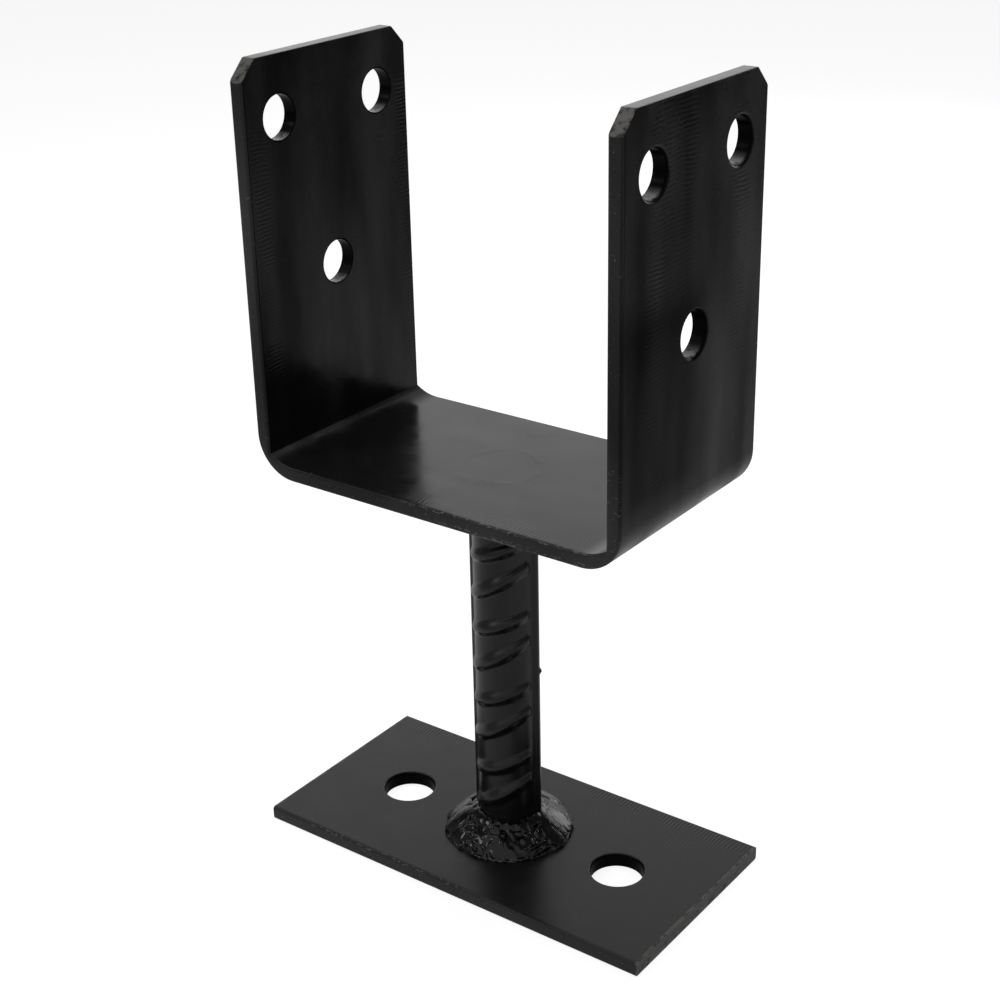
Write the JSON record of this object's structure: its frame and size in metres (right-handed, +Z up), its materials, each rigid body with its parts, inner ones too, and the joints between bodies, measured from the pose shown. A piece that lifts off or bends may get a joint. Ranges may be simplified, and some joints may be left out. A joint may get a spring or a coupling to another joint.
{
  "type": "post base",
  "caption": "Welded post base: a U bracket of flat bar with bolt holes and cropped corners, carried by a ribbed bar on a drilled base plate, finished in black enamel.",
  "frame": {"origin": "middle of the underside of the base plate, on the axis of the ribbed bar", "axes": "+Z up from the plate to the U, +X across the U from flange to flange and along the plate, +Y along the width of the flat bar, away from the viewer of the picture"},
  "size_m": [0.12, 0.06, 0.211],
  "materials": {
    "flat_bar_enamel": "black enamel over hot-rolled flat bar, semi-gloss",
    "ribbed_bar_enamel": "black enamel over ribbed bar, semi-gloss",
    "weld_enamel": "black enamel run over a rough weld bead, glossy"
  },
  "bodies": {
    "root": {"base_plate": "flat_bar_enamel", "stem": "ribbed_bar_enamel", "u_bracket": "flat_bar_enamel", "lower_weld": "weld_enamel", "upper_weld": "weld_enamel"}
  },
  "joints": []
}
